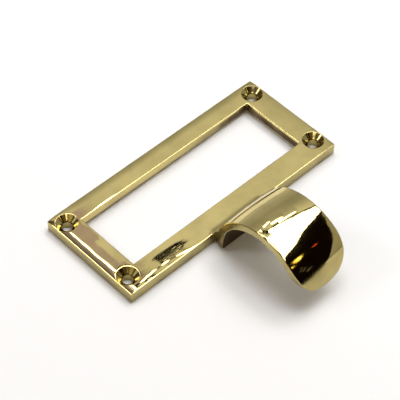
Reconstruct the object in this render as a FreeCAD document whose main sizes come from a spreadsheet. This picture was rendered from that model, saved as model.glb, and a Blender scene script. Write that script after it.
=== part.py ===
import FreeCAD, Part
import math
import os
import Sketcher
from FreeCAD import Vector

# Label frame pull: a cast brass card frame with a finger pull springing from its lower edge.
# The part lies on its back. X runs along the frame, +Y points to the top bar, +Z leaves the drawer
# front, and the pull arches out towards -Y. The origin is on the back plane, at the centre of the
# window and of the four screw holes. Lengths are in millimetres and angles in degrees.

NODE = "label_frame_pull"

DIMENSIONS = {
    "frame_length": 88.0,
    "frame_thickness": 4.5,
    "window_length": 71.6,
    "window_height": 23.8,
    "top_bar": 6.9,
    "bottom_bar": 8.0,
    "outer_corner": 1.0,
    "window_corner": 0.8,
    "outer_edge_round": 0.7,
    "window_edge_round": 0.4,
    "card_overlap": 1.5,
    "card_recess_depth": 1.2,
    "card_recess_corner": 1.0,
    "hole_spacing_long": 80.2,
    "hole_spacing_short": 27.9,
    "hole_diameter": 3.6,
    "countersink_diameter": 7.3,
    "countersink_angle": 90.0,
    "pull_width": 20.6,
    "pull_thickness": 2.6,
    "pull_standoff": 1.95,
    "pull_edge_round": 0.5,
    "foot_inset": 0.6,
    "foot_lift": 1.2,
    "heel_round": 0.6,
    "neck_radius": 1.0,
    "root_fillet": 4.2,
    "spring_height": 4.7,
    "rise_radius": 16.0,
    "rise_angle": 42.0,
    "top_radius": 18.7,
    "top_angle": 86.0,
    "nose_radius": 15.5,
    "nose_angle": 51.5,
    "tip_height": 6.0,
    "tip_length": 11.0,
}

TOLERANCE = 1e-4
LEAST_CUT = 1.0

doc = FreeCAD.newDocument("LabelFramePull")
sheet = doc.addObject("Spreadsheet::Sheet", "dimensions")
for row, (alias, value) in enumerate(DIMENSIONS.items(), start=1):
    sheet.set(f"A{row}", alias)
    sheet.set(f"B{row}", str(value))
    sheet.setAlias(f"B{row}", alias)
doc.recompute()
casting = doc.addObject("PartDesign::Body", "casting")
casting.Label = NODE


def size(expression):
    """Value of an expression over the sheet, to place geometry before its constraints solve."""
    return float(FreeCAD.Units.Quantity(sheet.evalExpression(expression)).Value)


def new_sketch(name, role, offset=None):
    """A sketch on one of the casting's own origin planes, moved along its normal if asked."""
    sketch = casting.newObject("Sketcher::SketchObject", name)
    plane = next(f for f in casting.Origin.OriginFeatures if f.Role == role)
    sketch.AttachmentSupport = [(plane, "")]
    sketch.MapMode = "FlatFace"
    if offset:
        sketch.setExpression("AttachmentOffset.Base.z", offset)
    return sketch


def line(x1, y1, x2, y2):
    return Part.LineSegment(Vector(x1, y1, 0), Vector(x2, y2, 0))


def arc(x, y, radius, start, end):
    """An arc about (x, y), anticlockwise from one angle to another."""
    circle = Part.Circle(Vector(x, y, 0), Vector(0, 0, 1), radius)
    return Part.ArcOfCircle(circle, math.radians(start), math.radians(end))


def direction(angle):
    """The unit vector at an angle from the sketch's horizontal."""
    return Vector(math.cos(math.radians(angle)), math.sin(math.radians(angle)), 0)


def join(sketch, pieces, smooth=(), closed=True):
    """Add lines and arcs end to end. The joints numbered in smooth are tangent, the rest only meet."""
    for piece in pieces:
        sketch.addGeometry(piece, False)
    count = len(pieces)
    for first in range(count if closed else count - 1):
        second = (first + 1) % count
        ends = [
            (a, b)
            for a in (1, 2)
            for b in (1, 2)
            if sketch.getPoint(first, a).distanceToPoint(sketch.getPoint(second, b)) < TOLERANCE
        ]
        kind = "Tangent" if first in smooth else "Coincident"
        sketch.addConstraint(Sketcher.Constraint(kind, first, ends[0][0], second, ends[0][1]))


def constrain(sketch, kind, *what):
    sketch.addConstraint(Sketcher.Constraint(kind, *what))


def bind(sketch, name, expression, kind, *what):
    """A named dimension of the sketch, tied to an expression over the sheet."""
    value = size(expression)
    if kind == "Angle":
        value = math.radians(value)
    index = sketch.addConstraint(Sketcher.Constraint(kind, *what, value))
    sketch.renameConstraint(index, name)
    sketch.setExpression(f"Constraints.{name}", f"{expression} * 1 deg" if kind == "Angle" else expression)


def centred_rectangle(sketch, right, top, bottom):
    """A rectangle about the vertical axis, from expressions for its reach right, up and down."""
    x, y1, y2 = size(right), size(top), -size(bottom)
    join(sketch, [line(-x, y2, x, y2), line(x, y2, x, y1), line(x, y1, -x, y1), line(-x, y1, -x, y2)])
    constrain(sketch, "Vertical", 1)
    constrain(sketch, "Vertical", 3)
    constrain(sketch, "Horizontal", 2)
    constrain(sketch, "Symmetric", 0, 1, 0, 2, -2)
    bind(sketch, "right", right, "DistanceX", -1, 1, 1, 1)
    bind(sketch, "top", top, "DistanceY", -1, 1, 2, 1)
    bind(sketch, "bottom", bottom, "DistanceY", 0, 1, -1, 1)


def pad(name, sketch, length):
    feature = casting.newObject("PartDesign::Pad", name)
    feature.Profile = sketch
    feature.setExpression("Length", length)
    doc.recompute()
    return feature


def pocket(name, sketch, length, reverse=False):
    """A pocket. It is refused if it takes hardly anything away."""
    before = casting.Shape.Volume
    feature = casting.newObject("PartDesign::Pocket", name)
    feature.Profile = sketch
    feature.Reversed = reverse
    feature.setExpression("Length", length)
    doc.recompute()
    if feature.Shape.Volume > before - LEAST_CUT:
        raise RuntimeError(f"{name} cuts nothing")
    return feature


def fillet(name, base, radius, test):
    """Round the edges of the base feature that pass a test."""
    edges = [f"Edge{i}" for i, edge in enumerate(base.Shape.Edges, start=1) if test(edge)]
    feature = casting.newObject("PartDesign::Fillet", name)
    feature.Base = (base, edges)
    feature.setExpression("Radius", radius)
    doc.recompute()
    return feature


def is_upright(edge):
    return edge.BoundBox.XLength < TOLERANCE and edge.BoundBox.YLength < TOLERANCE


def is_at_height(edge, height):
    return abs(edge.BoundBox.ZMin - height) < TOLERANCE and abs(edge.BoundBox.ZMax - height) < TOLERANCE


def is_within(edge, x, y):
    """Whether the edge lies in the rectangle of these half sizes about the origin."""
    box = edge.BoundBox
    return max(-box.XMin, box.XMax) < x + TOLERANCE and max(-box.YMin, box.YMax) < y + TOLERANCE


# Distances from the origin towards -Y: to the frame's lower wall, and to the two faces of the
# pull's leg, the one that looks at the wall and the one that looks away from it.
TO_WALL = "dimensions.window_height / 2 + dimensions.bottom_bar"
TO_OUTER_FACE = f"{TO_WALL} + dimensions.pull_standoff"
TO_INNER_FACE = f"{TO_OUTER_FACE} + dimensions.pull_thickness"

thickness = size("dimensions.frame_thickness")
half_width = size("dimensions.pull_width / 2")
wall = -size(TO_WALL)
outer_face = -size(TO_OUTER_FACE)
inner_face = -size(TO_INNER_FACE)
half_window = (size("dimensions.window_length / 2"), size("dimensions.window_height / 2"))

# Frame: a flat plate with rounded corners, its back at Z 0.
sketch = new_sketch("frame_outline", "XY_Plane")
centred_rectangle(
    sketch,
    "dimensions.frame_length / 2",
    "dimensions.window_height / 2 + dimensions.top_bar",
    TO_WALL,
)
plate = pad("plate", sketch, "dimensions.frame_thickness")
plate = fillet("plate_corners", plate, "dimensions.outer_corner", is_upright)

# Window, and the shallow recess behind it that holds the card.
sketch = new_sketch("window_outline", "XY_Plane")
centred_rectangle(
    sketch,
    "dimensions.window_length / 2",
    "dimensions.window_height / 2",
    "dimensions.window_height / 2",
)
window = pocket("window", sketch, "dimensions.frame_thickness", reverse=True)
window = fillet(
    "window_corners",
    window,
    "dimensions.window_corner",
    lambda edge: is_upright(edge) and is_within(edge, *half_window),
)
sketch = new_sketch("card_outline", "XY_Plane")
centred_rectangle(
    sketch,
    "dimensions.window_length / 2 + dimensions.card_overlap",
    "dimensions.window_height / 2 + dimensions.card_overlap",
    "dimensions.window_height / 2 + dimensions.card_overlap",
)
recess = pocket("card_recess", sketch, "dimensions.card_recess_depth", reverse=True)
overlap = size("dimensions.card_overlap")
recess = fillet(
    "card_recess_corners",
    recess,
    "dimensions.card_recess_corner",
    lambda edge: is_upright(edge)
    and is_within(edge, half_window[0] + overlap, half_window[1] + overlap)
    and edge.BoundBox.ZMin < TOLERANCE,
)

# Softened rims: the outer top edge, then the window's.
rim = fillet(
    "outer_rim",
    recess,
    "dimensions.outer_edge_round",
    lambda edge: is_at_height(edge, thickness) and not is_within(edge, *half_window),
)
fillet(
    "window_rim",
    rim,
    "dimensions.window_edge_round",
    lambda edge: is_at_height(edge, thickness) and is_within(edge, *half_window),
)

# Four countersunk screw holes.
sketch = new_sketch("hole_centres", "XY_Plane", "dimensions.frame_thickness")
half_long, half_short = size("dimensions.hole_spacing_long / 2"), size("dimensions.hole_spacing_short / 2")
radius = size("dimensions.hole_diameter / 2")
for x, y in ((1, 1), (-1, 1), (-1, -1), (1, -1)):
    circle = Part.Circle(Vector(x * half_long, y * half_short, 0), Vector(0, 0, 1), radius)
    sketch.addGeometry(circle, False)
for other in (1, 2, 3):
    constrain(sketch, "Equal", 0, other)
constrain(sketch, "Symmetric", 0, 3, 1, 3, -2)
constrain(sketch, "Symmetric", 0, 3, 3, 3, -1)
constrain(sketch, "Symmetric", 0, 3, 2, 3, -1, 1)
bind(sketch, "radius", "dimensions.hole_diameter / 2", "Radius", 0)
bind(sketch, "long", "dimensions.hole_spacing_long / 2", "DistanceX", -1, 1, 0, 3)
bind(sketch, "short", "dimensions.hole_spacing_short / 2", "DistanceY", -1, 1, 0, 3)
doc.recompute()
holes = casting.newObject("PartDesign::Hole", "screw_holes")
holes.Profile = sketch
holes.DepthType = "ThroughAll"
holes.setExpression("Diameter", "dimensions.hole_diameter")
holes.HoleCutType = "Countersink"
holes.HoleCutCustomValues = True
holes.setExpression("HoleCutDiameter", "dimensions.countersink_diameter")
holes.setExpression("HoleCutCountersinkAngle", "dimensions.countersink_angle")
doc.recompute()

# Pull: a strap of one thickness whose leg stands clear of the wall and of the back plane, arches
# over and comes down again. Its side view is three tangent arcs, each drawn twice about one centre.
strap_arcs = ("rise", "top", "nose")
strap = size("dimensions.pull_thickness")
spring = size("dimensions.spring_height")
lift = size("dimensions.foot_lift")
turn = 0.0
reached = Vector(outer_face, spring, 0)
outer, inner = [], []
for name in strap_arcs:
    radius, angle = size(f"dimensions.{name}_radius"), size(f"dimensions.{name}_angle")
    centre = reached - direction(turn) * radius
    outer.append(arc(centre.x, centre.y, radius, turn, turn + angle))
    inner.append(arc(centre.x, centre.y, radius - strap, turn, turn + angle))
    turn += angle
    reached = centre + direction(turn) * radius
inner_end = reached - direction(turn) * strap
sketch = new_sketch("pull_side_view", "YZ_Plane")
join(
    sketch,
    [
        line(outer_face, lift, outer_face, spring),
        *outer,
        line(reached.x, reached.y, inner_end.x, inner_end.y),
        *reversed(inner),
        line(inner_face, spring, inner_face, lift),
        line(inner_face, lift, outer_face, lift),
    ],
    smooth=(0, 1, 2, 5, 6, 7),
)
outer_leg, nose, strap_end, inner_leg, heel_line = 0, 3, 4, 8, 9
constrain(sketch, "Vertical", outer_leg)
constrain(sketch, "Vertical", inner_leg)
constrain(sketch, "Horizontal", heel_line)
for outside, inside in ((1, 7), (2, 6), (3, 5)):
    constrain(sketch, "Coincident", outside, 3, inside, 3)
constrain(sketch, "PointOnObject", nose, 3, strap_end)
bind(sketch, "standoff", TO_OUTER_FACE, "DistanceX", outer_leg, 1, -1, 1)
bind(sketch, "thickness", "dimensions.pull_thickness", "DistanceX", inner_leg, 2, outer_leg, 1)
bind(sketch, "lift", "dimensions.foot_lift", "DistanceY", -1, 1, outer_leg, 1)
bind(sketch, "spring", "dimensions.spring_height", "DistanceY", -1, 1, outer_leg, 2)
for number, name in enumerate(strap_arcs, start=1):
    bind(sketch, f"{name}_radius", f"dimensions.{name}_radius", "Radius", number)
    bind(sketch, f"{name}_angle", f"dimensions.{name}_angle", "Angle", number)
pull = pad("pull", sketch, "dimensions.pull_width")
pull.Midplane = True
doc.recompute()
fillet(
    "heel",
    pull,
    "dimensions.heel_round",
    lambda edge: is_at_height(edge, lift) and edge.BoundBox.YMax < inner_face + TOLERANCE,
)

# Tip: the strap's end trimmed to half an ellipse, as seen from the front. The outline lies in
# front of the pull, and the cut ends short of the leg.
tip_length = size("dimensions.tip_length")
tip_bottom = size("dimensions.tip_height")
middle = tip_bottom + tip_length
sketch = new_sketch("tip_outline", "XZ_Plane", f"{TO_INNER_FACE} + 3 * dimensions.rise_radius")
ellipse = Part.Ellipse(Vector(0, tip_bottom, 0), Vector(half_width, middle, 0), Vector(0, middle, 0))
margin = strap
join(
    sketch,
    [
        Part.ArcOfEllipse(ellipse, -math.pi / 2, math.pi / 2),
        line(half_width, middle, half_width + margin, middle),
        line(half_width + margin, middle, half_width + margin, -margin),
        line(half_width + margin, -margin, -half_width - margin, -margin),
        line(-half_width - margin, -margin, -half_width - margin, middle),
        line(-half_width - margin, middle, -half_width, middle),
    ],
)
sketch.exposeInternalGeometry(0)
long_axis, short_axis = 6, 7
constrain(sketch, "PointOnObject", long_axis, 1, -2)
constrain(sketch, "PointOnObject", long_axis, 2, -2)
constrain(sketch, "Horizontal", 0, 3, 0, 1)
constrain(sketch, "Horizontal", 0, 3, 0, 2)
for level in (1, 3, 5):
    constrain(sketch, "Horizontal", level)
for upright in (2, 4):
    constrain(sketch, "Vertical", upright)
constrain(sketch, "Equal", 1, 5)
bind(sketch, "tip_height", "dimensions.tip_height", "DistanceY", -1, 1, long_axis, 1)
bind(sketch, "tip_length", "dimensions.tip_length", "DistanceY", long_axis, 1, 0, 3)
bind(sketch, "width", "dimensions.pull_width", "DistanceX", short_axis, 2, short_axis, 1)
bind(sketch, "side_margin", "dimensions.pull_thickness", "DistanceX", 1, 1, 1, 2)
bind(sketch, "lower_margin", "dimensions.pull_thickness", "DistanceY", 3, 1, -1, 1)
tip = pocket("tip", sketch, "2 * dimensions.nose_radius")


def is_strap_edge(edge):
    """Whether the edge runs along the pull's sides or round its tip."""
    box = edge.BoundBox
    if box.YMax > outer_face + TOLERANCE or edge.Curve.TypeId == "Part::GeomLine":
        return False
    return box.XLength < strap or edge.Length > math.hypot(half_width, tip_length)


fillet("pull_edges", tip, "dimensions.pull_edge_round", is_strap_edge)

# Foot: the block that ties the leg to the lower wall, clear of the back plane, a little narrower
# than the pull and flared into the wall by two small hollow arcs.
FOOT_WIDTH = "dimensions.pull_width - 2 * dimensions.foot_inset"
foot_half = size(FOOT_WIDTH) / 2
neck = size("dimensions.neck_radius")
leg_middle = outer_face - strap / 2
sketch = new_sketch("foot_outline", "XY_Plane", "dimensions.foot_lift")
join(
    sketch,
    [
        arc(-foot_half - neck, wall - neck, neck, 0, 90),
        line(-foot_half, wall - neck, -foot_half, leg_middle),
        line(-foot_half, leg_middle, foot_half, leg_middle),
        line(foot_half, leg_middle, foot_half, wall - neck),
        arc(foot_half + neck, wall - neck, neck, 90, 180),
        line(foot_half + neck, wall, foot_half + neck, wall + neck),
        line(foot_half + neck, wall + neck, -foot_half - neck, wall + neck),
        line(-foot_half - neck, wall + neck, -foot_half - neck, wall),
    ],
    smooth=(0, 3),
)
for upright in (1, 3, 5, 7):
    constrain(sketch, "Vertical", upright)
constrain(sketch, "Horizontal", 6)
constrain(sketch, "Symmetric", 2, 1, 2, 2, -2)
constrain(sketch, "Equal", 0, 4)
constrain(sketch, "Vertical", 0, 3, 0, 2)
constrain(sketch, "Vertical", 4, 3, 4, 1)
constrain(sketch, "Horizontal", 0, 2, 4, 1)
bind(sketch, "width", FOOT_WIDTH, "DistanceX", 2, 1, 2, 2)
bind(sketch, "flare", "dimensions.neck_radius", "Radius", 0)
bind(sketch, "wall", TO_WALL, "DistanceY", 0, 2, -1, 1)
bind(sketch, "front", f"{TO_OUTER_FACE} + dimensions.pull_thickness / 2", "DistanceY", 2, 1, -1, 1)
bind(sketch, "overlap", "dimensions.neck_radius", "DistanceY", 5, 1, 5, 2)
pad("foot", sketch, "dimensions.frame_thickness - dimensions.foot_lift")

# Root: a hollow blend from the front of the frame up into the pull, between its rounded edges.
root = size("dimensions.root_fillet")
rise = size("dimensions.rise_radius")
rise_centre = Vector(outer_face - rise, spring, 0)
drop = thickness + root - spring
root_centre = Vector(rise_centre.x + math.sqrt((rise + root) ** 2 - drop**2), thickness + root, 0)
meeting = rise_centre + (root_centre - rise_centre) * rise / (rise + root)
contact = math.degrees(math.atan2(drop, root_centre.x - rise_centre.x))
sketch = new_sketch("root_side_view", "YZ_Plane")
join(
    sketch,
    [
        arc(root_centre.x, root_centre.y, root, 180 + contact, 270),
        line(root_centre.x, thickness, root_centre.x, thickness / 2),
        line(root_centre.x, thickness / 2, meeting.x, thickness / 2),
        line(meeting.x, thickness / 2, meeting.x, meeting.y),
    ],
)
sketch.addGeometry(Part.Circle(rise_centre, Vector(0, 0, 1), rise), True)
sketch.addGeometry(line(rise_centre.x, rise_centre.y, root_centre.x, root_centre.y), True)
rise_circle, centre_line = 4, 5
constrain(sketch, "Vertical", 1)
constrain(sketch, "Horizontal", 2)
constrain(sketch, "Vertical", 3)
constrain(sketch, "Vertical", 0, 3, 0, 2)
constrain(sketch, "Coincident", centre_line, 1, rise_circle, 3)
constrain(sketch, "Coincident", centre_line, 2, 0, 3)
constrain(sketch, "PointOnObject", 0, 1, centre_line)
constrain(sketch, "PointOnObject", 0, 1, rise_circle)
bind(sketch, "blend", "dimensions.root_fillet", "Radius", 0)
bind(sketch, "rise", "dimensions.rise_radius", "Radius", rise_circle)
bind(sketch, "rise_y", f"{TO_OUTER_FACE} + dimensions.rise_radius", "DistanceX", rise_circle, 3, -1, 1)
bind(sketch, "rise_z", "dimensions.spring_height", "DistanceY", -1, 1, rise_circle, 3)
bind(sketch, "face", "dimensions.frame_thickness", "DistanceY", -1, 1, 0, 2)
bind(sketch, "depth", "dimensions.frame_thickness / 2", "DistanceY", 1, 2, 1, 1)
blend = pad("root", sketch, FOOT_WIDTH)
blend.Midplane = True
doc.recompute()

# The part is written only if every feature built, every sketch is fixed by its constraints and
# the result is one solid.
failed = [item.Name for item in doc.Objects if {"Invalid", "Error"} & set(item.State)]
if failed:
    raise RuntimeError(f"these objects did not build: {failed}")
sketches = [item for item in doc.Objects if item.TypeId == "Sketcher::SketchObject"]
loose = [item.Name for item in sketches if not item.FullyConstrained]
if loose:
    raise RuntimeError(f"these sketches are not fully constrained: {loose}")
os.makedirs("parts", exist_ok=True)
shape = casting.Shape
if shape.isNull() or not shape.isValid() or len(shape.Solids) != 1:
    raise RuntimeError(f"{casting.Label} is not one valid solid")
shape.exportStep(f"parts/{casting.Label}.step")
print(f"{casting.Label}: {shape.Volume:.0f} mm3, {shape.BoundBox}")
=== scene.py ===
from math import atan2, cos, degrees, exp, pi, radians, sin, sqrt, tan

import bmesh
import bpy
from mathutils import Matrix, Vector, noise


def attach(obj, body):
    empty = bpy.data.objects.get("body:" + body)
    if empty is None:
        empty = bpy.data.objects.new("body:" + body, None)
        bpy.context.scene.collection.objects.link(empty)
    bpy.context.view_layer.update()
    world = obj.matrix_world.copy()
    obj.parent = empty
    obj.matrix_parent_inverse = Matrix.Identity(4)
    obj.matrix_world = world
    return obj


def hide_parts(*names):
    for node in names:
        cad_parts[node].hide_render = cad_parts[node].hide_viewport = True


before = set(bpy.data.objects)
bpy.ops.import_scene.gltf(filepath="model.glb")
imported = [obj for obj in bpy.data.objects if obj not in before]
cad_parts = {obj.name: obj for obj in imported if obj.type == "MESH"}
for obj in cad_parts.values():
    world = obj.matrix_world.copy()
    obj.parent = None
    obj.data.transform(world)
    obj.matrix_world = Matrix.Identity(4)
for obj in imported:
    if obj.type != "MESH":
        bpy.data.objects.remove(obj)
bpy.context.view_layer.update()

# A label frame with a finger pull, cast in one piece of brass. Lengths are in
# millimetres up to the finished mesh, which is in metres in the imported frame.
MM = 0.001

# The frame: its outline, its thickness, the window for the label and the recess behind it.
HALF_LENGTH = 44.0
FAR_EDGE = 18.8
NEAR_EDGE = -19.9
FACE = 4.5
WINDOW_X = 35.8
WINDOW_Y = 11.9
RECESS_X = 37.3
RECESS_Y = 13.4
RECESS_FLOOR = 1.2

# The countersunk screw holes.
HOLE_X = 40.1
HOLE_Y = 13.95
HOLE_RADIUS = 1.7
COUNTERSINK_RADIUS = 3.6

# The finger pull: three tangent arcs (radius, end angle of the normal), from where they start.
STRAP_ARCS = ((16.0, 42.0), (18.7, 128.0), (15.5, 179.5))
STRAP_START = (-21.85, 4.7)
STRAP_HALF_WIDTH = 10.3
STRAP_THICKNESS = 2.6
STRAP_CROWN = 0.4

# The pull's tip, half an ellipse seen from the front: the height where it starts, and its length.
TIP_START = 17.0
TIP_LENGTH = 11.0

# The pull's root: the hollow that runs up from the face, and the foot below it.
ROOT_CENTRE = (-18.05, 8.7)
ROOT_RADIUS = 4.2
FOOT_HALF_WIDTH = 9.75
FOOT_LIFT = 1.2


# Small helpers

def mirrored(values):
    """Positive values as one rising list from -max to +max."""
    return [-v for v in reversed(values) if v > 0] + list(values)


def smooth(low, high, value):
    """0 below low, 1 above high, eased between."""
    t = min(max((value - low) / (high - low), 0.0), 1.0)
    return t * t * (3 - 2 * t)


def band(value, rise_start, rise_end, fall_start, fall_end):
    """1 inside a stretch and 0 outside it, eased at both ends."""
    return smooth(rise_start, rise_end, value) * (1 - smooth(fall_start, fall_end, value))


def spread(value, pairs):
    """A value moved from the first of each pair to the second, and as far on its negative side."""
    size = abs(value)
    for (a, moved_a), (b, moved_b) in zip(pairs, pairs[1:]):
        if size <= b:
            moved = moved_a + (size - a) / (b - a) * (moved_b - moved_a)
            return moved if value >= 0 else -moved
    return value


def direction(angle):
    """The unit vector at an angle in degrees."""
    return Vector((cos(radians(angle)), sin(radians(angle))))


# The cage: the casting's form in quads, which subdivision then rounds

# Its lines across the pull and its foot, counted from the middle, and across the frame: over its middle,
# over its corners and over its ends.
PULL_COLUMNS = [0, 2, 4, 6, 7.7, 8.9]
FOOT_COLUMNS = PULL_COLUMNS + [9.4, FOOT_HALF_WIDTH]
MIDDLE_COLUMNS = mirrored(FOOT_COLUMNS + [10.9, 13.5, 17, 20.5, 24, 27.5, 31, 33.6, 35.2, WINDOW_X])
CORNER_COLUMNS = [38, HOLE_X, 41.6, 42.6, 43.3, HALF_LENGTH]
END_COLUMNS = [WINDOW_X, 36.4] + CORNER_COLUMNS

# Its lines along the frame: beside the window, past the holes, and on the far and the near bar.
END_ROWS = [0, 3, 6, 9.4]
WINDOW_ROWS = END_ROWS + [11.3]
CORNER_ROWS = [11.7, HOLE_Y, 16.2]
FAR_ROWS = [WINDOW_Y, 12.15, 14, 15.6, 17, 18.1, FAR_EDGE]
NEAR_ROWS = [-WINDOW_Y, -12.15, -14, -15.6, -17, -18.05, -18.8, -19.7, NEAR_EDGE]

# The place in FAR_ROWS and NEAR_ROWS of the line where the patches around the holes end.
PATCH_END = 5

# The heights of its lines on the outer wall, on the window's wall and on the foot.
WALL_LEVELS = [0, 0.35, FOOT_LIFT, 1.65, 2.9, 4.3, FACE]
WINDOW_LEVELS = (FACE, 4.33, 2.8, 1.5, RECESS_FLOOR)
FOOT_LEVELS = (FOOT_LIFT, 1.65, 2.9, 4.4)

# The recess, from the window's wall to the back: (share of the way out to its wall, height).
RECESS_STEPS = ((0.25, RECESS_FLOOR), (0.8, RECESS_FLOOR), (1, RECESS_FLOOR), (1, 0.9), (1, 0.25), (1, 0))

# How the lines on the back spread, so that the recess lies behind the window: (face, back).
BACK_SPREAD_X = ((0, 0), (30, 30), (WINDOW_X, RECESS_X), (38.4, 38.8), (42, 42), (50, 50))
BACK_SPREAD_Y = ((0, 0), (8, 8), (WINDOW_Y, RECESS_Y), (15, 15.4), (17.5, 17.5), (30, 30))

# A hole from the face to the back: (radius, height).
HOLE_PROFILE = ((3.67, FACE), (COUNTERSINK_RADIUS, FACE - 0.02), (3.54, 4.42), (2.6, 3.5), (1.9, 2.85),
                (HOLE_RADIUS, 2.6), (HOLE_RADIUS, 2.3), (HOLE_RADIUS, 0.3), (HOLE_RADIUS, 0), (2.2, 0))

# Each ring around a hole: its points, the angle of the first one, which faces the first corner of the
# patch, and how far it may reach towards the window and towards the frame's end.
HOLE_POINTS = 24
HOLE_FIRST_ANGLE = -132.0
HOLE_REACH = (-3.95, 3.7)

# The depths of the lines on the pull's sides, below its outside. The first of them, and the last line
# but one across the pull, lie closer to its edge at the root than from the top on.
SIDE_DEPTHS = (0.5, 1.3, 2.1)
EDGE_AT_ROOT = 0.2
EDGE_FROM_TOP = 0.45

# Where the pull is cut across: the first cut's angle and half width, then the angles of the others,
# closest together on top, where the polishing wheel left marks.
ROOT_CUT = (11.4, 10.05)
STRAP_CUTS = (18, 25, 32, 39, 46, 53, 60, 66, 71, 75, 78, 80, 82, 83.5, 85, 86.5, 88, 89.5, 91, 92.5, 94,
              96, 99, 103, 108, 114, 121, 128)

# The tip, row by row: height at the middle and at the side. Then the lines that end on its rim, and
# how far its rows keep from the rim and bend up towards it.
TIP_ROWS = ((15.9, 15.95), (14.0, 14.1), (12.0, 12.3), (9.9, 10.6), (8.2, 9.3), (6.7, 8.0))
TIP_COLUMNS = [0, 1.1, 2.1, 3.1, 4.05, 4.95]
TIP_MARGIN = 0.5
TIP_BEND = 0.12

# The pull's falling part ends at this angle of its normal. Halving finds the angle at a height.
LAST_ANGLE = 181.0
HALVINGS = 40

# The foot, from the frame to the strap: where each line of the web stands and where it meets the
# hollow, then where each line of the strap's lower end stands.
WEB_ROWS = ((-20.55, -20.8), (-21.3, -21.65))
LEG_ROWS = (-21.85, -22.35, -23.15, -23.95, -24.45)


class Cage:
    """Quads whose corners are joined wherever they fall on the same point."""

    def __init__(self):
        self.bm = bmesh.new()
        self.corners = {}

    def corner(self, point):
        """The corner at a point, made when it is first asked for."""
        key = tuple(round(c, 4) for c in point)
        if key not in self.corners:
            self.corners[key] = self.bm.verts.new(point)
        return self.corners[key]

    def face(self, *points):
        """One face, from point to point."""
        self.bm.faces.new([self.corner(p) for p in points])

    def net(self, rows, closed=False):
        """Quads between rows that have the same number of points."""
        for low, high in zip(rows, rows[1:]):
            count = len(low)
            for i in range(count if closed else count - 1):
                j = (i + 1) % count
                self.face(low[i], low[j], high[j], high[i])


def to_back(x, y):
    """The plan position on the back that lies behind a position on the face."""
    return (spread(x, BACK_SPREAD_X), spread(y, BACK_SPREAD_Y))


def root_height(y):
    """Height of the hollow that carries the face up into the pull."""
    reach = y - ROOT_CENTRE[0]
    return ROOT_CENTRE[1] - sqrt(ROOT_RADIUS ** 2 - reach ** 2)


def face_point(x, y):
    """A point of the frame's front, which the hollow lifts in front of the pull."""
    if abs(x) <= FOOT_HALF_WIDTH and y < ROOT_CENTRE[0]:
        return (x, y, root_height(y))
    return (x, y, FACE)


def back_point(x, y):
    """The point of the frame's back that lies behind a position on the face."""
    return (*to_back(x, y), 0.0)


def plate_outline():
    """The outer edge in plan, once around."""
    columns = [-x for x in reversed(CORNER_COLUMNS)] + MIDDLE_COLUMNS + CORNER_COLUMNS
    past_near_holes = NEAR_ROWS[-2:PATCH_END - 1:-1]
    rows = past_near_holes + mirrored(END_ROWS + CORNER_ROWS) + [FAR_ROWS[PATCH_END]]
    near = [(x, NEAR_EDGE) for x in columns]
    right = [(HALF_LENGTH, y) for y in rows]
    far = [(x, FAR_EDGE) for x in reversed(columns)]
    left = [(-HALF_LENGTH, y) for y in reversed(rows)]
    return near + right + far + left


def window_outline():
    """The window in plan, once around."""
    rows = mirrored(WINDOW_ROWS)
    near = [(x, -WINDOW_Y) for x in MIDDLE_COLUMNS]
    right = [(WINDOW_X, y) for y in rows]
    far = [(x, WINDOW_Y) for x in reversed(MIDDLE_COLUMNS)]
    left = [(-WINDOW_X, y) for y in reversed(rows)]
    return near + right + far + left


def hole_outline(side_x, side_y):
    """The patch of the face around one hole, from the inner end corner on."""
    last = FAR_ROWS[PATCH_END] if side_y > 0 else -NEAR_ROWS[PATCH_END]
    patch = [(x, END_ROWS[-1]) for x in END_COLUMNS]
    patch += [(HALF_LENGTH, y) for y in CORNER_ROWS + [last]]
    patch += [(x, last) for x in CORNER_COLUMNS[-2::-1] + [WINDOW_X]]
    patch += [(WINDOW_X, y) for y in FAR_ROWS[PATCH_END - 1::-1] + [WINDOW_ROWS[-1]]]
    return [(side_x * x, side_y * y) for x, y in patch]


def hole_ring(side_x, side_y, radius, height):
    """One ring around a hole, in step with the outline of its patch."""
    # Subdivision draws a ring in, so the cage's ring is larger by as much.
    radius *= 3 / (2 + cos(2 * pi / HOLE_POINTS))
    ring = []
    for i in range(HOLE_POINTS):
        turn = radians(HOLE_FIRST_ANGLE) + 2 * pi * i / HOLE_POINTS
        x = min(max(radius * cos(turn), HOLE_REACH[0]), HOLE_REACH[1])
        ring.append((side_x * (HOLE_X + x), side_y * (HOLE_Y + radius * sin(turn)), height))
    return ring


def add_side(cage, place):
    """The flat faces of the frame, on the front or on the back."""
    for rows in (FAR_ROWS[:PATCH_END + 1], NEAR_ROWS[:PATCH_END + 1]):
        cage.net([[place(x, y) for x in MIDDLE_COLUMNS] for y in rows])
    for rows in (FAR_ROWS[PATCH_END:], NEAR_ROWS[PATCH_END:]):
        cage.net([[place(x, y) for x in MIDDLE_COLUMNS] for y in rows])
        for side in (-1, 1):
            cage.net([[place(side * x, y) for x in [WINDOW_X] + CORNER_COLUMNS] for y in rows])
    for side in (-1, 1):
        cage.net([[place(side * x, y) for x in END_COLUMNS] for y in mirrored(END_ROWS)])


def add_holes(cage):
    """The countersunk holes, from the face through to the back."""
    for side_x in (-1, 1):
        for side_y in (-1, 1):
            patch = hole_outline(side_x, side_y)
            front = [face_point(x, y) for x, y in patch]
            rings = [hole_ring(side_x, side_y, radius, height) for radius, height in HOLE_PROFILE]
            back = [back_point(x, y) for x, y in patch]
            cage.net([front] + rings + [back], closed=True)


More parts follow.
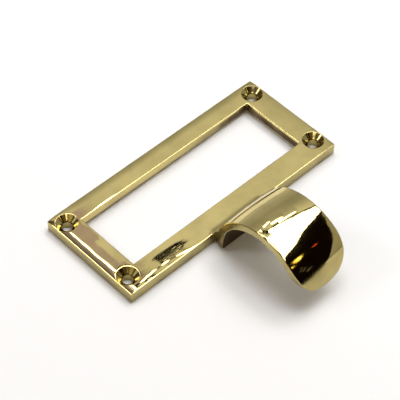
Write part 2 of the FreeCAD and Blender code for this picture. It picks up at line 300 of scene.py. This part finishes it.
def add_walls(cage):
    """The outer wall, the window wall and the recess behind the window."""
    outline = plate_outline()
    for i, (x, y) in enumerate(outline):
        next_x, next_y = outline[(i + 1) % len(outline)]
        at_foot = y == next_y == NEAR_EDGE and max(abs(x), abs(next_x)) <= FOOT_HALF_WIDTH
        levels = WALL_LEVELS[:3] if at_foot else WALL_LEVELS
        cage.net([wall_points(x, y, levels), wall_points(next_x, next_y, levels)])
    window = window_outline()
    loops = [[(x, y, z) for x, y in window] for z in WINDOW_LEVELS]
    for share, height in RECESS_STEPS:
        loops.append([recess_point(x, y, share, height) for x, y in window])
    cage.net(loops, closed=True)


def wall_points(x, y, levels):
    """One upright line of the outer wall, from the back up."""
    top = face_point(x, y)[2]
    points = [back_point(x, y)]
    for z in levels[1:]:
        points.append((x, y, top if z == FACE else z))
    return points


def recess_point(x, y, share, height):
    """A point of the recess, part of the way from the window's edge to the recess's."""
    out_x, out_y = to_back(x, y)
    return (x + share * (out_x - x), y + share * (out_y - y), height)


def strap_point(angle, depth=0.0):
    """A point on the pull's side view: its normal's angle and its depth below the outside."""
    radius = STRAP_ARCS[0][0]
    centre = Vector((STRAP_START[0] - radius, STRAP_START[1]))
    for (_, end), (next_radius, _) in zip(STRAP_ARCS, STRAP_ARCS[1:]):
        if angle <= end:
            break
        centre = centre + direction(end) * (radius - next_radius)
        radius = next_radius
    return centre + direction(angle) * (radius - depth)


def strap_columns(half_width, edge=EDGE_FROM_TOP):
    """The lines across the pull, the last two on either side an edge apart."""
    scale = half_width / STRAP_HALF_WIDTH
    return mirrored([x * scale for x in PULL_COLUMNS] + [half_width - edge, half_width])


def crown(x):
    """How far the pull's outside swells at a distance from its middle."""
    return STRAP_CROWN * (1 - (x / STRAP_HALF_WIDTH) ** 2)


def strap_section(angle, half_width):
    """The pull cut across: outside, one side, inside, other side."""
    edge = EDGE_AT_ROOT + (EDGE_FROM_TOP - EDGE_AT_ROOT) * smooth(60, 90, angle)
    depths = (edge, *SIDE_DEPTHS[1:])
    columns = strap_columns(half_width, edge)
    loop = [(x, -crown(x)) for x in columns]
    loop += [(half_width, depth) for depth in depths]
    loop += [(x, STRAP_THICKNESS) for x in reversed(columns)]
    loop += [(-half_width, depth) for depth in reversed(depths)]
    return [(x, *strap_point(angle, depth)) for x, depth in loop]


def section_parts(section):
    """A section's outside and inside from left to right, and its sides from the outside in."""
    across = len(section) // 2 - len(SIDE_DEPTHS)
    inside_start = across + len(SIDE_DEPTHS)
    outside = section[:across]
    inside = section[inside_start:inside_start + across][::-1]
    left = [outside[0]] + section[:inside_start + across - 1:-1] + [inside[0]]
    right = [outside[-1]] + section[across:inside_start] + [inside[-1]]
    return outside, inside, left, right


def tip_half_width(height):
    """Half the width of the tip's outline at a height."""
    drop = max(0.0, TIP_START - height) / TIP_LENGTH
    return STRAP_HALF_WIDTH * sqrt(max(0.0, 1 - drop * drop))


def tip_height(x):
    """Height of the tip's outline at a distance from the middle."""
    return TIP_START - TIP_LENGTH * sqrt(1 - (x / STRAP_HALF_WIDTH) ** 2)


def angle_at_height(height):
    """The normal's angle where the falling part of the pull is at a height."""
    low = STRAP_ARCS[1][1]
    high = LAST_ANGLE
    for _ in range(HALVINGS):
        middle = (low + high) / 2
        if strap_point(middle)[1] > height:
            low = middle
        else:
            high = middle
    return low


def on_strap(x, height, depth):
    """A point on the falling part of the pull, at a depth below its outside."""
    return (x, *strap_point(angle_at_height(height), depth))


def tip_row(middle, side):
    """One row across the tip: points (x, height), outline points at both ends."""
    half = tip_half_width(side)
    widest = STRAP_HALF_WIDTH - TIP_MARGIN
    row = [(half, side)]
    for column in reversed(PULL_COLUMNS + [widest]):
        x = column * (half - TIP_MARGIN) / widest
        row.append((x, middle + (side + TIP_BEND - middle) * (x / half) ** 2))
    return [(-x, z) for x, z in row] + row[-2::-1]


def tip_section(row):
    """The tip cut across along one row."""
    first, last = row[0], row[-1]
    section = [on_strap(x, z, -crown(x)) for x, z in row]
    section += [on_strap(*last, depth) for depth in SIDE_DEPTHS]
    section += [on_strap(x, z, STRAP_THICKNESS) for x, z in reversed(row)]
    section += [on_strap(*first, depth) for depth in reversed(SIDE_DEPTHS)]
    return section


def add_pull(cage):
    """The strap, from the root to the last full row, with its rounded tip."""
    sections = [strap_section(*ROOT_CUT)]
    sections += [strap_section(angle, STRAP_HALF_WIDTH) for angle in STRAP_CUTS]
    sections += [tip_section(tip_row(middle, side)) for middle, side in TIP_ROWS]
    cage.net(sections, closed=True)
    add_tip(cage, sections[-1])
    add_root(cage, sections[0])


def add_tip(cage, section):
    """The end of the tip, below the last row."""
    outside, inside, left, right = section_parts(section)
    lines = [left]
    for x in mirrored(TIP_COLUMNS):
        z = tip_height(x)
        depths = (-crown(x), *SIDE_DEPTHS, STRAP_THICKNESS)
        lines.append([on_strap(x, z, depth) for depth in depths])
    lines.append(right)
    cage.net(lines)
    cage.net([outside[1:-1], [line[0] for line in lines]])
    cage.net([inside[1:-1], [line[-1] for line in lines]])


def add_root(cage, section):
    """The foot: the hollow above, the web to the frame and the strap's lower end."""
    outside, inside, left, right = section_parts(section)
    columns = mirrored(FOOT_COLUMNS)
    leg_columns = strap_columns(STRAP_HALF_WIDTH)
    hollow_rows = [NEAR_EDGE] + [hollow_y for _, hollow_y in WEB_ROWS]
    cage.net([[(x, y, root_height(y)) for x in columns] for y in hollow_rows] + [outside])
    for side, top in ((-1, left), (1, right)):
        cage.net(foot_side(side, top))
    cage.net([[(x, LEG_ROWS[-1], z) for x in leg_columns] for z in FOOT_LEVELS] + [inside])
    narrow_rows = [NEAR_EDGE] + [web_y for web_y, _ in WEB_ROWS] + [LEG_ROWS[0]]
    under = [[(x, y, FOOT_LIFT) for x in columns] for y in narrow_rows]
    under += [[(x, y, FOOT_LIFT) for x in leg_columns] for y in LEG_ROWS[1:]]
    cage.net(under)


def foot_side(side, top):
    """One side of the foot: upright lines from the frame's wall to the strap's lower end."""
    x = side * FOOT_HALF_WIDTH
    lines = [[(x, NEAR_EDGE, z) for z in WALL_LEVELS[2:-1]] + [(x, NEAR_EDGE, root_height(NEAR_EDGE))]]
    for web_y, hollow_y in WEB_ROWS:
        lines.append([(x, web_y, z) for z in FOOT_LEVELS] + [(x, hollow_y, root_height(hollow_y))])
    for i, y in enumerate(LEG_ROWS):
        leg_x = x if i == 0 else side * STRAP_HALF_WIDTH
        lines.append([(leg_x, y, z) for z in FOOT_LEVELS] + [top[i]])
    return lines


def make_casting():
    """The whole casting: its cage, rounded by subdivision and then finished by hand."""
    cage = Cage()
    add_side(cage, face_point)
    add_side(cage, back_point)
    add_holes(cage)
    add_walls(cage)
    add_pull(cage)
    bm = cage.bm
    bmesh.ops.recalc_face_normals(bm, faces=bm.faces)
    if not all(edge.is_manifold for edge in bm.edges):
        raise ValueError("the cage is open somewhere")
    bmesh.ops.scale(bm, vec=(MM, MM, MM), verts=bm.verts)
    mesh = bpy.data.meshes.new("casting_cage")
    bm.to_mesh(mesh)
    bm.free()
    casting = bpy.data.objects.new("casting", mesh)
    bpy.context.scene.collection.objects.link(casting)
    rounding = casting.modifiers.new("rounding", "SUBSURF")
    rounding.levels = rounding.render_levels = 2
    rounded = casting.evaluated_get(bpy.context.evaluated_depsgraph_get())
    casting.data = bpy.data.meshes.new_from_object(rounded)
    casting.data.name = "casting"
    casting.modifiers.remove(rounding)
    hand_finish(casting.data)
    casting.data.shade_smooth()
    return casting


# The hand finish: what filing and polishing took off, and where shade is painted into the brass

# Edges polished over: how far in the roll starts, and how deep it is at the edge.
LEFT_ROLL = (2.9, 0.5)
LEFT_ARRIS = (0.45, 0.12)
RIGHT_ROLL = (7.5, 0.22)
FAR_ROLL = (3.2, 0.26)
NEAR_ARRIS = (0.42, 0.012)

# Slopes filed on the face, as depth for each millimetre, and the depth of the near bar's step.
NEAR_LIP_SLOPE = 0.02
FAR_LIP_SLOPE = 0.09
LEFT_BAR_SLOPE = 0.014
NEAR_STEP = 0.032

# How deep the slow waves are that the polishing left on the frame's face and on the pull.
FACE_WAVES = 0.008
PULL_WAVES = 0.012

# Marks of the polishing wheel on top of the pull: x and distance past the top, twice, and height.
WHEEL_MARKS = ((-7.4, -1.35, -4.6, -1.75, 0.12), (-4.8, -0.62, -0.4, -0.1, 0.10),
               (-2.6, 0.45, 4.1, 1.1, 0.06))

# The angle of the pull's normal from which the distances past the top are measured.
TOP_ANGLE = 88

# A point in the hollow of the pull, seen from the side.
HOLLOW_MIDDLE = (-37.5, 4.0)

# The bend between the face and the pull keeps its drawn form: its half width and where it starts.
BEND_HALF_WIDTH = 11
BEND_START = -17.5


def wave(x, y, seed):
    """Slow unevenness left by hand polishing, about -1 to 1."""
    return noise.noise(Vector((x, y, seed)))


def edge_roll(distance, width, depth):
    """How far the face falls towards an edge that was polished over."""
    reach = max(0.0, 1 - distance / width)
    return depth * reach * reach


def near_bar_fall(x, near):
    """The near bar's left half: a shallow fall towards its edge, then a small step."""
    strength = band(x, -33, -29, -22, -15)
    start = 5.8 - 0.6 * smooth(-25, -19, x)
    end = 2.1 + 1.0 * smooth(-23.5, -19.5, x)
    slope = 0.025 + 0.006 * smooth(-28, -21, x)
    fall = slope * strength * min(max(start - near, 0), start - end)
    ripple = 0.001 * strength * wave(x / 6, near / 0.7, 8)
    lip = NEAR_LIP_SLOPE * band(x, -38.5, -37, -36, -33) * max(0, 1.0 - near)
    return fall + ripple + near_bar_step(x, near) + lip


def near_bar_step(x, near):
    """The step beside the near edge, which wanders along the bar and is shallower halfway."""
    middle = 1.85 - 0.6 * (1 - smooth(-41, -34, x)) - 1.5 * smooth(-28, -17, x)
    middle += 0.15 * wave(x / 2, 0, 5)
    depth = NEAR_STEP * band(x, -40.5, -37.5, -19, -15)
    depth *= 1 - 0.5 * band(x, -28.5, -27, -25, -23.5)
    return depth * (1 - smooth(middle - 0.3, middle + 0.3, near))


def far_bar_lip(x, from_window):
    """The far bar's left half, filed down a little where it meets the window."""
    reach = 0.15 + 0.65 * band(x, -34, -27, -25, -19) + 0.1 * wave(x / 3, 0, 21)
    return FAR_LIP_SLOPE * band(x, -35.8, -33, -14, -9) * max(0, reach - from_window)


def left_bar_slope(x, y):
    """The left bar's middle, which falls slightly towards the window."""
    start = -39.0 + 0.8 * wave(y / 3, 0, 7) + 0.6 * wave(x / 1.3, y / 1.3, 9)
    return LEFT_BAR_SLOPE * band(y, -10, -8, 1.5, 4) * max(0, x - start)


def face_drop(x, y):
    """Depth of the polished face below its flat, at a place in plan."""
    from_left = x + HALF_LENGTH
    near = y - NEAR_EDGE
    clear_of_pull = smooth(10.5, 15, abs(x))
    left_width = LEFT_ROLL[0] + 0.4 * wave(0, y / 4.5, 3)
    drop = edge_roll(from_left, left_width, LEFT_ROLL[1])
    drop += edge_roll(from_left, *LEFT_ARRIS)
    drop += edge_roll(HALF_LENGTH - x, *RIGHT_ROLL)
    drop += edge_roll(FAR_EDGE - y, *FAR_ROLL)
    drop += clear_of_pull * edge_roll(near, *NEAR_ARRIS)
    if y > 0:
        drop += far_bar_lip(x, y - WINDOW_Y)
    if x < 0 and near < 8.2:
        drop += clear_of_pull * near_bar_fall(x, near)
    if x < -35:
        drop += left_bar_slope(x, y)
    return drop + FACE_WAVES * wave(x / 8, y / 5, 13)


def wheel_mark(x, along, start, start_along, end, end_along, height):
    """One mark of the polishing wheel: a ridge that rises gently and ends steeply towards the tip."""
    gap = along - start_along - (x - start) / (end - start) * (end_along - start_along)
    gap += 0.1 * wave(x / 1.2, 0, 33)
    between_ends = band(x, start - 0.4, start + 0.4, end - 0.4, end + 0.4)
    return height * between_ends * (1 - smooth(-0.4, 0.4, gap)) * exp(-0.5 * (min(gap, 0) / 1.2) ** 2)


def corner_flat(x, along):
    """The flat that the wheel ground on the top's left corner: how far it fills up the curve."""
    strength = 1 - smooth(-8.5, -7.2, x + 0.2 * max(0, along - 1.0))
    centre = 0.05 - 0.4 * (1 - smooth(-9.6, -8.6, x))
    inner = min(max(along, -1.5), 2.3)
    filled = (inner - centre) ** 2 / (2 * STRAP_ARCS[1][0])
    return strength * filled * exp(-abs(along - inner) / 1.2)


def strap_mark(x, angle):
    """Height left by the polishing wheel on the outside of the pull."""
    along = STRAP_ARCS[1][0] * radians(angle - TOP_ANGLE)
    height = PULL_WAVES * wave(x / 5, angle / 14, 17)
    for mark in WHEEL_MARKS:
        height += wheel_mark(x, along, *mark)
    return height + corner_flat(x, along)


def window_shade(x, z):
    """The window's wall: painted shade at its foot, and painted shade towards the right end."""
    return max(1 - smooth(0.6, 2.2, z), 0.92 * smooth(0, 32, x) * (1 - smooth(3.4, 4.3, z)))


def hole_shade(x, y):
    """The holes: a little painted shade in the countersinks, more below them in the bores."""
    radius = sqrt((abs(x) - HOLE_X) ** 2 + (abs(y) - HOLE_Y) ** 2)
    return max(0.25 * (1 - smooth(3.3, 3.6, radius)), 0.5 * (1 - smooth(1.75, 2.0, radius)))


def wall_shade(z):
    """The outer wall: painted shade, most of all low down, and none at its upper edge."""
    return 0.6 - 0.2 * smooth(0.2, 2.4, z) - 0.4 * smooth(3.9, 4.35, z)


def pull_shade(x, y, z, normal):
    """The pull: painted shade at its sides, its foot, its tip and inside, darkest deep inside, with a
    painted dark line along its rounded edges.
    """
    darkening = 0.0
    if abs(x) > 9.5:
        aside = abs(normal.x)
        # A painted dark line along the pull's rounded edges.
        painted_edge_line = band(aside, 0.12, 0.3, 0.9, 0.98) * smooth(-41, -36, y)
        darkening = max(0.4 * smooth(0.5, 0.9, aside), 0.95 * painted_edge_line, 0.75 * smooth(-26, -24, y))
    if y < -45:
        darkening = max(darkening, 0.45 * (1 - smooth(12.0, 15.5, z)))
    if inside_pull(y, z, normal):
        darkening = max(darkening, 0.45 + 0.55 * smooth(-33, -26, y))
    return darkening


def inside_pull(y, z, normal):
    """Whether a place is on the hollow side of the pull."""
    outward = normal.y * (y - HOLLOW_MIDDLE[0]) + normal.z * (z - HOLLOW_MIDDLE[1])
    return y < -23.5 and outward < -3


def painted_shade(place, normal):
    """How much shade is painted into the brass, which is also made rougher there: 0 on open faces, 1 in
    corners and recesses.
    """
    x, y, z = place
    darkening = hole_shade(x, y)
    if abs(x) < WINDOW_X + 0.2 and abs(y) < WINDOW_Y + 0.2:
        darkening = max(darkening, window_shade(x, z))
    if abs(x) > HALF_LENGTH - 0.2 or y > FAR_EDGE - 0.2 or abs(y - NEAR_EDGE) < 0.1:
        darkening = max(darkening, wall_shade(z))
    if y < NEAR_EDGE - 0.1:
        darkening = max(darkening, pull_shade(x, y, z, normal))
    return min(1.0, darkening)


def hand_finish(mesh):
    """Takes the machined look off: edges polished over, faces and pull slightly uneven."""
    normals = [v.normal.copy() for v in mesh.vertices]
    # Painted shade for each point, which darkens and roughens the brass.
    painted_shading = mesh.attributes.new("painted_shade", "FLOAT", "POINT").data
    for vertex, normal in zip(mesh.vertices, normals):
        x, y, z = (c / MM for c in vertex.co)
        painted_shading[vertex.index].value = painted_shade((x, y, z), normal)
        on_frame = y > NEAR_EDGE - 0.01
        on_bend = abs(x) <= BEND_HALF_WIDTH and y <= BEND_START
        if on_frame and not on_bend:
            vertex.co.z -= MM * smooth(1.5, FACE, z) * face_drop(x, y)
        angle = degrees(atan2(normal.z, normal.y))
        if y < -23 and 20 < angle < 175:
            fade = smooth(20, 40, angle) * (1 - smooth(9.6, 10.2, abs(x)))
            vertex.co += normal * MM * fade * strap_mark(x, angle)


# The finishes

# The brass's colour, darkened by painted shade and a little random tone: bright, shaded and nearly black.
BRIGHT_BRASS = (0.68, 0.558, 0.225)
SHADED_BRASS = (0.35, 0.285, 0.108)
DEEP_SHADE_BRASS = (0.09, 0.052, 0.016)


def new_material(name):
    """An empty material with its output."""
    material = bpy.data.materials.new(name)
    material.use_nodes = True
    nodes = material.node_tree.nodes
    nodes.clear()
    output = nodes.new("ShaderNodeOutputMaterial")
    return material, nodes, material.node_tree.links, output


def brass_noise(nodes, links, scale, detail, stretch=(1, 1, 1)):
    """Noise that sits still on the casting."""
    place = nodes.new("ShaderNodeTexCoord")
    mapping = nodes.new("ShaderNodeMapping")
    mapping.inputs["Scale"].default_value = stretch
    texture = nodes.new("ShaderNodeTexNoise")
    texture.inputs["Scale"].default_value = scale
    texture.inputs["Detail"].default_value = detail
    links.new(place.outputs["Object"], mapping.inputs["Vector"])
    links.new(mapping.outputs["Vector"], texture.inputs["Vector"])
    return texture.outputs["Fac"]


def ranged(nodes, links, value, low, high, start=0.35, end=0.65):
    """A value between start and end, spread between low and high."""
    node = nodes.new("ShaderNodeMapRange")
    node.inputs["From Min"].default_value = start
    node.inputs["From Max"].default_value = end
    node.inputs["To Min"].default_value = low
    node.inputs["To Max"].default_value = high
    links.new(value, node.inputs["Value"])
    return node.outputs["Result"]


def added(nodes, links, one, other):
    """Two values added."""
    node = nodes.new("ShaderNodeMath")
    links.new(one, node.inputs[0])
    links.new(other, node.inputs[1])
    return node.outputs["Value"]


def colour_ramp(nodes, links, value, stops):
    """A value turned into a colour, stop by stop."""
    ramp = nodes.new("ShaderNodeValToRGB")
    elements = ramp.color_ramp.elements
    while len(elements) < len(stops):
        elements.new(0.5)
    for element, (place, colour) in zip(elements, stops):
        element.position = place
        element.color = (*colour, 1)
    links.new(value, ramp.inputs["Fac"])
    return ramp.outputs["Color"]


def polished_brass():
    """Brass polished by hand, darker and rougher where shade is painted into it, with random cloudy tone.
    """
    material, nodes, links, output = new_material("polished_brass")
    shader = nodes.new("ShaderNodeBsdfPrincipled")
    shader.inputs["Metallic"].default_value = 1.0
    shade_attribute = nodes.new("ShaderNodeAttribute")
    shade_attribute.attribute_name = "painted_shade"
    clouds = ranged(nodes, links, brass_noise(nodes, links, scale=130, detail=3), low=0.0, high=0.22)
    # Painted shade from the mesh, plus random cloudy tone.
    darkening = added(nodes, links, shade_attribute.outputs["Fac"], clouds)
    tones = ((0.0, BRIGHT_BRASS), (0.7, SHADED_BRASS), (1.0, DEEP_SHADE_BRASS))
    links.new(colour_ramp(nodes, links, darkening, tones), shader.inputs["Base Color"])
    smear_noise = brass_noise(nodes, links, scale=260, detail=4, stretch=(0.3, 1, 1))
    smears = ranged(nodes, links, smear_noise, low=0.02, high=0.06)
    satin = ranged(nodes, links, darkening, low=0.0, high=0.3, start=0.2, end=1.0)
    links.new(added(nodes, links, smears, satin), shader.inputs["Roughness"])
    hairlines = brass_noise(nodes, links, scale=2600, detail=2, stretch=(0.06, 1, 1))
    bump = nodes.new("ShaderNodeBump")
    bump.inputs["Strength"].default_value = 0.05
    bump.inputs["Distance"].default_value = 0.0001
    links.new(hairlines, bump.inputs["Height"])
    links.new(bump.outputs["Normal"], shader.inputs["Normal"])
    links.new(shader.outputs["BSDF"], output.inputs["Surface"])
    return material


def glow(name, colour, strength):
    """A lamp or a lit card."""
    material, nodes, links, output = new_material(name)
    light = nodes.new("ShaderNodeEmission")
    light.inputs["Color"].default_value = (*colour, 1)
    light.inputs["Strength"].default_value = strength
    links.new(light.outputs["Emission"], output.inputs["Surface"])
    return material


def matt(name, colour):
    """A matt painted surface."""
    material, nodes, links, output = new_material(name)
    shader = nodes.new("ShaderNodeBsdfPrincipled")
    shader.inputs["Base Color"].default_value = (*colour, 1)
    shader.inputs["Roughness"].default_value = 0.8
    shader.inputs["Specular IOR Level"].default_value = 0.2
    links.new(shader.outputs["BSDF"], output.inputs["Surface"])
    return material


# The studio: lit and dark cards around the object, for the polished brass to mirror, in metres

TABLE_HALF_SIZE = 3
TABLE_WHITE = (0.9, 0.9, 0.9)

# The softbox, a panel beside it and their strength: places (across the picture, away from the camera).
SOFTBOX = ((-0.27, 0.66), (-0.27, 0.52), (-0.02, 0.52), (0.10, 0.36), (0.25, 0.21), (0.46, 0.01),
           (0.6, -0.1), (0.62, -0.3), (0.79, -0.3), (0.75, -0.2), (0.715, -0.1), (0.69, 0.0),
           (0.665, 0.06), (0.635, 0.11), (0.6, 0.17), (0.6, 0.66))
NEAR_PANEL = ((-0.27, 0.44), (-0.07, 0.44), (0.04, 0.29), (0.19, 0.13), (0.4, -0.07), (0.43, -0.1),
              (-0.27, -0.1))
SOFTBOX_STRENGTH = 6.15

# Cloths above the softbox: left, right, near, far and height, then colour and strength.
CLOTHS = (
    ("far_cloth", (-0.085, 0.68, 0.6, 0.71, 1.01), (1, 0.9, 0.8), 0.02),
    ("side_cloth", (0.5, 0.68, -0.8, 0.6, 1.01), (1, 0.9, 0.8), 0.02),
    ("left_cloth", (-0.36, -0.26, -0.8, 0.735, 1.01), (0.55, 0.49, 0.8), 0.78),
    ("middle_cloth", (-0.47, -0.36, -0.8, 0.735, 1.01), (0.36, 0.3, 0.43), 0.78),
    ("outer_cloth", (-0.8, -0.47, -0.8, 0.735, 1.01), (0.18, 0.16, 0.18), 0.78),
    ("near_cloth", (-0.26, 0.5, -0.8, 0.55, 1.02), (0.16, 0.13, 0.1), 0.78),
)

# The curtain beyond the cloths, in plan, and its height.
CURTAIN = ((0.30, 0.72), (0.465, 0.56), (0.492, 0.59), (0.491, 0.66), (0.499, 0.95), (0.30, 0.95))
CURTAIN_HEIGHT = 1.02

# Upright panels: azimuths, elevations (degrees, from the object), distance, then colour and strength.
PANELS = (
    ("window", (130, 150), (36, 50), 1.2, (1, 1, 1), 6),
    ("pale_wall", (130, 150), (8, 36), 1.2, (1, 1, 1), 0.7),
    ("left_wall", (166, 205), (26, 50), 1.2, (1, 0.85, 0.5), 0.6),
    ("camera_wall", (192, 234), (40, 49), 1.2, (1, 0.9, 0.7), 2.4),
    ("dark_shelf", (90, 130), (3, 46), 1.2, (0.1, 0.075, 0.04), 1.0),
    ("right_wall", (-62, 0), (0, 50), 1.8, (1, 0.95, 0.86), 0.42),
)

# The dark wall on the camera's right, in plan: where it starts and a place further on.
DARK_WALL_START = (0.1, -1.1)
DARK_WALL_TOWARDS = (1.05, 0.04)

# What is on the dark wall: places (along the wall, height).
DARK_WALL = ((0, 0), (0.474, 0), (0.511, 0.136), (0.555, 0.255), (0.618, 0.389), (0.69, 0.514),
             (0.834, 0.73), (1.131, 1.052), (1.484, 1.35), (0, 1.4))
YELLOW_LAMP = ((0.437, 0.714), (0.47, 0.714), (0.486, 0.682), (0.487, 0.638), (0.453, 0.59),
               (0.424, 0.584), (0.42, 0.649))
LAMP_GLASS = ((0.451, 0.696), (0.468, 0.695), (0.477, 0.68), (0.477, 0.657), (0.46, 0.632), (0.445, 0.63))
LOW_YELLOW_LAMP = ((0.379, 0.606), (0.394, 0.595), (0.376, 0.539), (0.357, 0.542))
RED_LAMP = ((0.572, 0.612), (0.6, 0.616), (0.609, 0.582), (0.588, 0.558), (0.564, 0.586))

# Small panes far away on the same wall: their lower left corners, and the size and lean of each.
FAR_PANES = ((0.349, 0.265), (0.368, 0.327), (0.361, 0.218), (0.377, 0.254), (0.377, 0.129),
             (0.387, 0.15))
PANE_WIDTH = 0.014
PANE_HEIGHT = 0.035
PANE_LEAN = 0.002

# A dark sheet that paints a dark reflection in the brass, below the wall, in plan, and how high it lies
# above the table.
DARK_REFLECTION_SHEET = ((0.053, -0.150), (0.02, -0.112), (-0.005, -0.113), (-0.02, -0.13), (0.1, -1.1),
             (0.404, -0.736))
DARK_REFLECTION_SHEET_HEIGHT = 0.0005

# The room's grey by the height that a reflection looks at, and its tint from behind the camera on.
ROOM_GREYS = ((0.0, 0.66), (0.17, 0.50), (0.34, 0.45), (0.45, 0.39), (0.6, 0.47), (0.68, 0.62),
              (0.74, 0.80), (0.78, 0.90))
ROOM_TINTS = ((0.0, (0.28, 0.21, 0.12)), (0.3, (0.42, 0.36, 0.28)), (1.0, (1, 1, 1)))


def card(name, corners, material):
    """A flat panel of the studio, which the camera sees only in the brass, but for the table."""
    mesh = bpy.data.meshes.new(name)
    mesh.from_pydata(corners, [], [tuple(range(len(corners)))])
    mesh.materials.append(material)
    panel = bpy.data.objects.new(name, mesh)
    bpy.context.scene.collection.objects.link(panel)
    panel.visible_camera = name == "table"
    return panel


def overhead(across, along, height=1.0):
    """A point of the ceiling: across the picture and away from the camera."""
    diagonal = sqrt(0.5) * height
    return ((across + along) * diagonal, (along - across) * diagonal, height)


def toward(azimuth, elevation, distance):
    """A point seen from the object in a direction, at a distance along the table."""
    turn = radians(azimuth)
    return (distance * cos(turn), distance * sin(turn), distance * tan(radians(elevation)))


def wall_card(name, outline, material, nearness=0.98):
    """A card on the dark wall, or just in front of it."""
    start = Vector(DARK_WALL_START)
    along_wall = (Vector(DARK_WALL_TOWARDS) - start).normalized()
    places = [Vector((*(start + along_wall * along), height)) for along, height in outline]
    return card(name, [place * nearness for place in places], material)


def lay_table():
    """The white table that the object lies on."""
    size = TABLE_HALF_SIZE
    card("table", [(-size, -size, 0), (size, -size, 0), (size, size, 0), (-size, size, 0)],
         matt("white_table", TABLE_WHITE))


def hang_softbox():
    """The large lamp overhead, in two panels with a gap between them."""
    bright = glow("softbox", (1, 1, 1), SOFTBOX_STRENGTH)
    card("softbox", [overhead(*place) for place in SOFTBOX], bright)
    card("near_panel", [overhead(*place) for place in NEAR_PANEL], bright)


def hang_cloths():
    """Dark and lilac cloths above the softbox, seen past its edges."""
    for name, (left, right, near, far, height), colour, strength in CLOTHS:
        corners = ((left, near), (right, near), (right, far), (left, far))
        places = [overhead(across, along, height) for across, along in corners]
        card(name, places, glow(name, colour, strength))
    lilac = glow("curtain", (0.78, 0.67, 0.9), 0.78)
    card("curtain", [(x, y, CURTAIN_HEIGHT) for x, y in CURTAIN], lilac)


def stand_panels():
    """Upright panels around the table."""
    for name, (right, left), (low, high), distance, colour, strength in PANELS:
        corners = ((left, low), (right, low), (right, high), (left, high))
        places = [toward(azimuth, elevation, distance) for azimuth, elevation in corners]
        card(name, places, glow(name, colour, strength))


def build_dark_wall():
    """The dark wall, and the dark sheet that paints a reflection, which make the black reflection in the
    pull.
    """
    dark = glow("dark_room", (1, 0.45, 0.2), 0.005)
    wall_card("dark_wall", DARK_WALL, dark, nearness=1.0)
    dark_reflection_sheet = card("dark_reflection_sheet", [(x, y, DARK_REFLECTION_SHEET_HEIGHT) for x, y in DARK_REFLECTION_SHEET], dark)
    # A painted dark reflection: the sheet neither lights nor shades the table.
    dark_reflection_sheet.visible_diffuse = False
    dark_reflection_sheet.visible_shadow = False


def hang_lamps():
    """The lamps and panes that shine in the black reflection."""
    yellow = glow("yellow_lamp", (1, 0.72, 0.14), 2.496)
    wall_card("yellow_lamp", YELLOW_LAMP, yellow)
    wall_card("lamp_glass", LAMP_GLASS, glow("lamp_glass", (1, 0.92, 0.45), 4.0), nearness=0.96)
    wall_card("low_yellow_lamp", LOW_YELLOW_LAMP, yellow)
    wall_card("red_lamp", RED_LAMP, glow("red_lamp", (1, 0.13, 0.02), 0.702))
    pane = glow("far_pane", (0.9, 0.8, 0.75), 0.16)
    for left, bottom in FAR_PANES:
        right = left + PANE_WIDTH
        top = bottom + PANE_HEIGHT
        outline = ((left, bottom), (right, bottom), (right - PANE_LEAN, top), (left - PANE_LEAN, top))
        wall_card("far_pane", outline, pane)


def make_room():
    """The room beyond the lights: bright behind the object, dark behind the camera."""
    world = bpy.data.worlds.new("room")
    bpy.context.scene.world = world
    world.use_nodes = True
    nodes, links = world.node_tree.nodes, world.node_tree.links
    nodes.clear()
    output = nodes.new("ShaderNodeOutputWorld")
    background = nodes.new("ShaderNodeBackground")
    look = nodes.new("ShaderNodeTexCoord")
    split = nodes.new("ShaderNodeSeparateXYZ")
    links.new(look.outputs["Generated"], split.inputs["Vector"])
    greys = [(place, (grey, grey, grey)) for place, grey in ROOM_GREYS]
    by_height = colour_ramp(nodes, links, split.outputs["Z"], greys)
    away = added(nodes, links, split.outputs["X"], split.outputs["Y"])
    away = ranged(nodes, links, away, low=0.0, high=1.0, start=-0.5, end=0.9)
    by_depth = colour_ramp(nodes, links, away, ROOM_TINTS)
    both = nodes.new("ShaderNodeVectorMath")
    both.operation = "MULTIPLY"
    links.new(by_height, both.inputs[0])
    links.new(by_depth, both.inputs[1])
    links.new(both.outputs["Vector"], background.inputs["Color"])
    links.new(background.outputs["Background"], output.inputs["Surface"])


def make_studio():
    """A white table under one large softbox, in a room that the polished brass mirrors."""
    lay_table()
    hang_softbox()
    hang_cloths()
    stand_panels()
    build_dark_wall()
    hang_lamps()
    make_room()


# The camera: the photograph's, found from the frame's corners and holes

# Its angles are in degrees. Its lens, its sensor and its distance from its target are in millimetres.
CAMERA_LENS = 149.6
CAMERA_SENSOR = 36.0
CAMERA_AZIMUTH = -44.657
CAMERA_ELEVATION = 50.253
CAMERA_ROLL = 1.318
CAMERA_TARGET = (-1.236, -4.743, 0)
CAMERA_DISTANCE = 523.1


def make_camera():
    """The camera, looking at its target from its direction."""
    data = bpy.data.cameras.new("camera")
    data.lens = CAMERA_LENS
    data.sensor_width = CAMERA_SENSOR
    data.clip_start = 0.01
    camera = bpy.data.objects.new("camera", data)
    bpy.context.scene.collection.objects.link(camera)
    azimuth, elevation, roll = map(radians, (CAMERA_AZIMUTH, CAMERA_ELEVATION, CAMERA_ROLL))
    back = Vector((sin(azimuth) * cos(elevation), -cos(azimuth) * cos(elevation), sin(elevation)))
    right = Vector((0, 0, 1)).cross(back).normalized()
    up = back.cross(right)
    right, up = right * cos(roll) + up * sin(roll), up * cos(roll) - right * sin(roll)
    place = Vector(CAMERA_TARGET) * MM + back * CAMERA_DISTANCE * MM
    turn = Matrix((right, up, back)).transposed().to_4x4()
    camera.matrix_world = Matrix.Translation(place) @ turn
    bpy.context.scene.camera = camera


bpy.context.scene.view_settings.view_transform = "Standard"
casting = make_casting()
casting.data.materials.append(polished_brass())
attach(casting, "root")
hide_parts("label_frame_pull")
make_studio()
make_camera()
